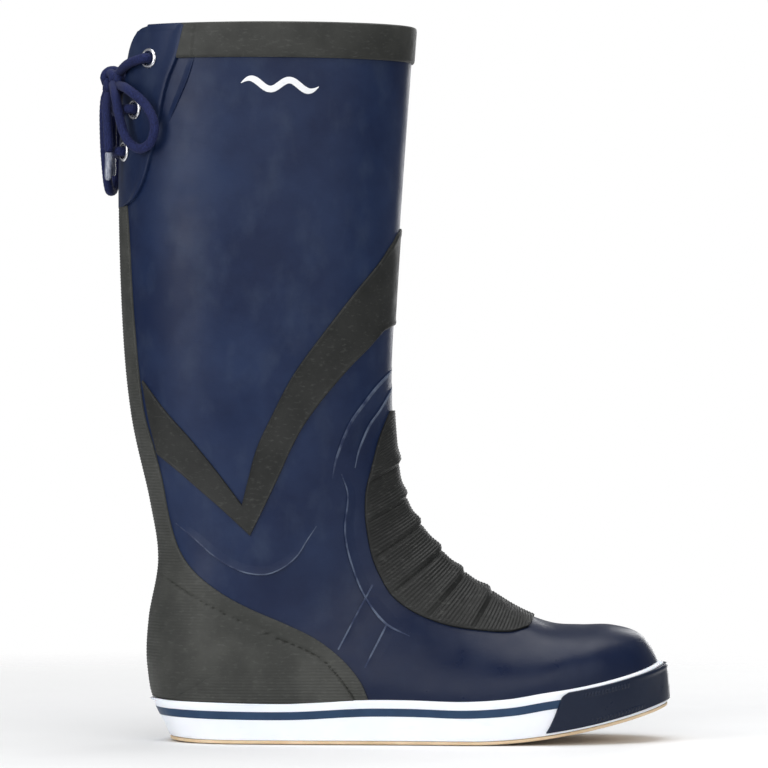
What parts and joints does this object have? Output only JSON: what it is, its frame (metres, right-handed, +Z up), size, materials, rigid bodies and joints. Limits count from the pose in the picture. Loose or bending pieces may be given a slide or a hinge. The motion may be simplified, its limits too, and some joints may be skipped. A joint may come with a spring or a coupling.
{
  "type": "deck boot",
  "caption": "Knee-high rubber deck boot for the right foot, with a laced gusset at the back, white foxing, gum sole and lift-out footbed.",
  "frame": {"origin": "on the ground, under the middle of the boot's length and width", "axes": "+X towards the toe, +Z up, -Y towards the outer (lateral) side of the right foot"},
  "size_m": [0.3318, 0.1137, 0.4123],
  "materials": {
    "navy_rubber": "satin, deep navy, vulcanised and lacquered",
    "charcoal_rubber": "matt charcoal with moulded ribs",
    "white_rubber": "smooth, clean white",
    "gum_rubber": "matt natural gum, siped",
    "knit_lining": "grey knitted jersey bonded inside the rubber",
    "footbed_foam": "foam with a woven top cloth",
    "midsole_foam": "closed-cell foam rubber",
    "fibre_board": "pressed fibre board",
    "shank_steel": "plain spring steel strip",
    "eyelet_metal": "pressed, bright nickel look",
    "lace_cord": "braided navy polyester cord",
    "aglet_plastic": "clear film over the cord's end"
  },
  "bodies": {
    "boot": {"leg_shell": "navy_rubber", "vamp_shell": "navy_rubber", "lace_facing_outer": "navy_rubber", "lace_facing_inner": "navy_rubber", "foxing_stripe": "navy_rubber", "toe_bumper": "navy_rubber", "rim_band": "charcoal_rubber", "chevron_band": "charcoal_rubber", "instep_panel": "charcoal_rubber", "heel_guard": "charcoal_rubber", "gusset": "charcoal_rubber", "foxing_band": "white_rubber", "wave_emblem": "white_rubber", "outsole": "gum_rubber", "lining": "knit_lining", "midsole": "midsole_foam", "insole_board": "fibre_board", "shank": "shank_steel", "eyelet_outer_top": "eyelet_metal", "eyelet_outer_middle": "eyelet_metal", "eyelet_outer_bottom": "eyelet_metal", "eyelet_inner_top": "eyelet_metal", "eyelet_inner_middle": "eyelet_metal", "eyelet_inner_bottom": "eyelet_metal", "eyelet_washer_outer_top": "eyelet_metal", "eyelet_washer_outer_middle": "eyelet_metal", "eyelet_washer_outer_bottom": "eyelet_metal", "eyelet_washer_inner_top": "eyelet_metal", "eyelet_washer_inner_middle": "eyelet_metal", "eyelet_washer_inner_bottom": "eyelet_metal", "lace_run": "lace_cord", "lace_loop_outer": "lace_cord", "lace_loop_inner": "lace_cord", "lace_end_outer": "lace_cord", "lace_end_inner": "lace_cord", "bow_knot": "lace_cord", "aglet_outer": "aglet_plastic", "aglet_inner": "aglet_plastic"},
    "footbed_body": {"footbed": "footbed_foam"}
  },
  "joints": [
    {"name": "footbed_lift", "type": "hinge", "parent": "boot", "child": "footbed_body", "pos_m": [0.1425, 0.009, 0.0285], "axis": [0, 1, 0], "range_deg": [0, 12]}
  ]
}
